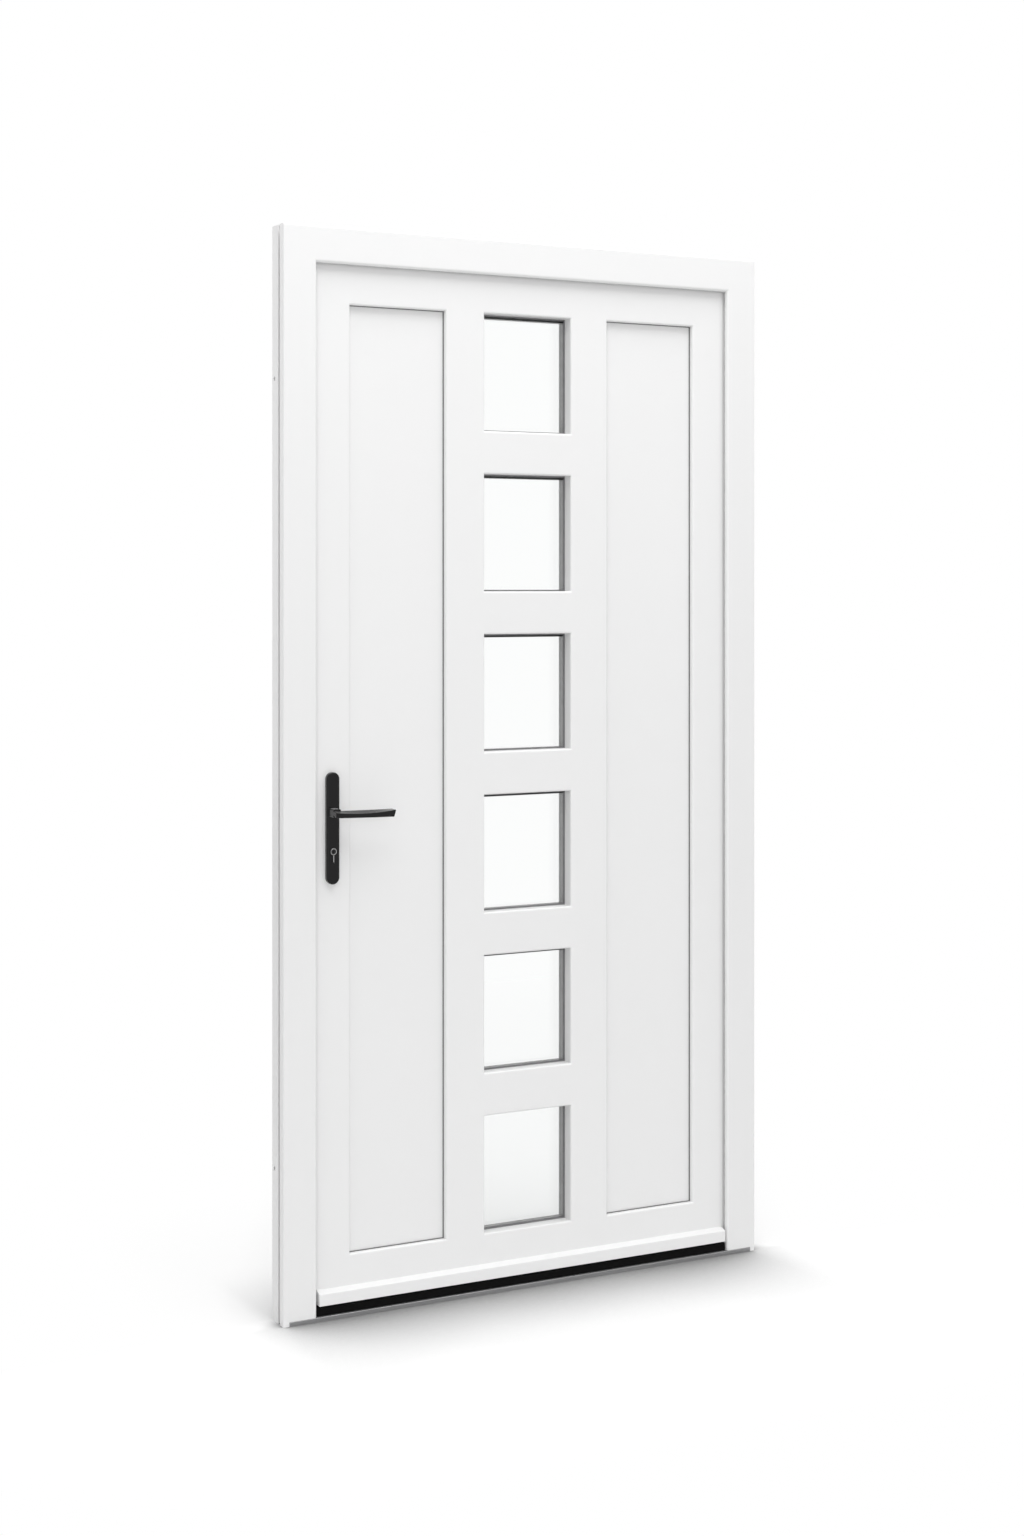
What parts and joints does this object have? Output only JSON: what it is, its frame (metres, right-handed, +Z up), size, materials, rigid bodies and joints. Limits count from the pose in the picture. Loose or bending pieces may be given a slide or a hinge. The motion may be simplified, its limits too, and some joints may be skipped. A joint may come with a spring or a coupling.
{
  "type": "entrance door",
  "caption": "White framed entrance door: a hinged leaf with a column of small panes between tall flat panels, lever handle on a long black plate, weather bar and low threshold.",
  "frame": {"origin": "middle of the threshold's underside, halfway through the frame's depth", "axes": "+X to the right seen from outside, +Y inwards through the doorway, +Z up"},
  "size_m": [1.1, 0.154, 2.15],
  "materials": {
    "frame_white": "satin white plastic",
    "leaf_white": "satin white plastic",
    "panel_white": "smooth white skin",
    "glass": "clear",
    "pale_seal": "matt pale grey",
    "grey_seal": "matt grey",
    "dark_seal": "matt dark grey",
    "dark_nickel": "dark nickel",
    "spacer": "matt grey",
    "threshold_alu": "anodised satin",
    "black_plastic": "matt black",
    "handle_black": "satin black",
    "steel": "satin",
    "hinge_white": "satin white"
  },
  "bodies": {
    "frame": {"lock_jamb": "frame_white", "hinge_jamb": "frame_white", "head": "frame_white", "frame_seal": "pale_seal", "threshold": "threshold_alu", "threshold_rail": "black_plastic", "keep_plates": "steel", "hinge_frame_halves": "hinge_white"},
    "leaf": {"lock_stile": "leaf_white", "hinge_stile": "leaf_white", "top_rail": "leaf_white", "bottom_rail": "leaf_white", "left_mullion": "leaf_white", "right_mullion": "leaf_white", "transom_1": "leaf_white", "transom_2": "leaf_white", "transom_3": "leaf_white", "transom_4": "leaf_white", "transom_5": "leaf_white", "left_panel": "panel_white", "right_panel": "panel_white", "pane_1": "glass", "pane_2": "glass", "pane_3": "glass", "pane_4": "glass", "pane_5": "glass", "pane_6": "glass", "panel_gaskets": "grey_seal", "pane_gaskets": "dark_seal", "pane_spacers": "spacer", "panel_beads": "leaf_white", "pane_beads": "leaf_white", "weather_bar": "leaf_white", "bottom_seal": "dark_seal", "outer_plate": "handle_black", "inner_plate": "handle_black", "lock_cylinder": "dark_nickel", "lock_faceplate": "steel", "hinge_leaf_halves": "hinge_white"},
    "lever": {"outer_lever": "handle_black", "inner_lever": "handle_black", "lever_spindle": "steel"}
  },
  "joints": [
    {"name": "leaf_swing", "type": "hinge", "parent": "frame", "child": "leaf", "pos_m": [0.531, 0.056, 1.075], "axis": [0, 0, -1], "range_deg": [0, 90]},
    {"name": "lever_turn", "type": "hinge", "parent": "leaf", "child": "lever", "pos_m": [-0.441, 0.0165, 0.9964], "axis": [0, 1, 0], "range_deg": [0, 40], "stiffness_Nm_per_rad": 2, "springref_deg": -20.05}
  ]
}
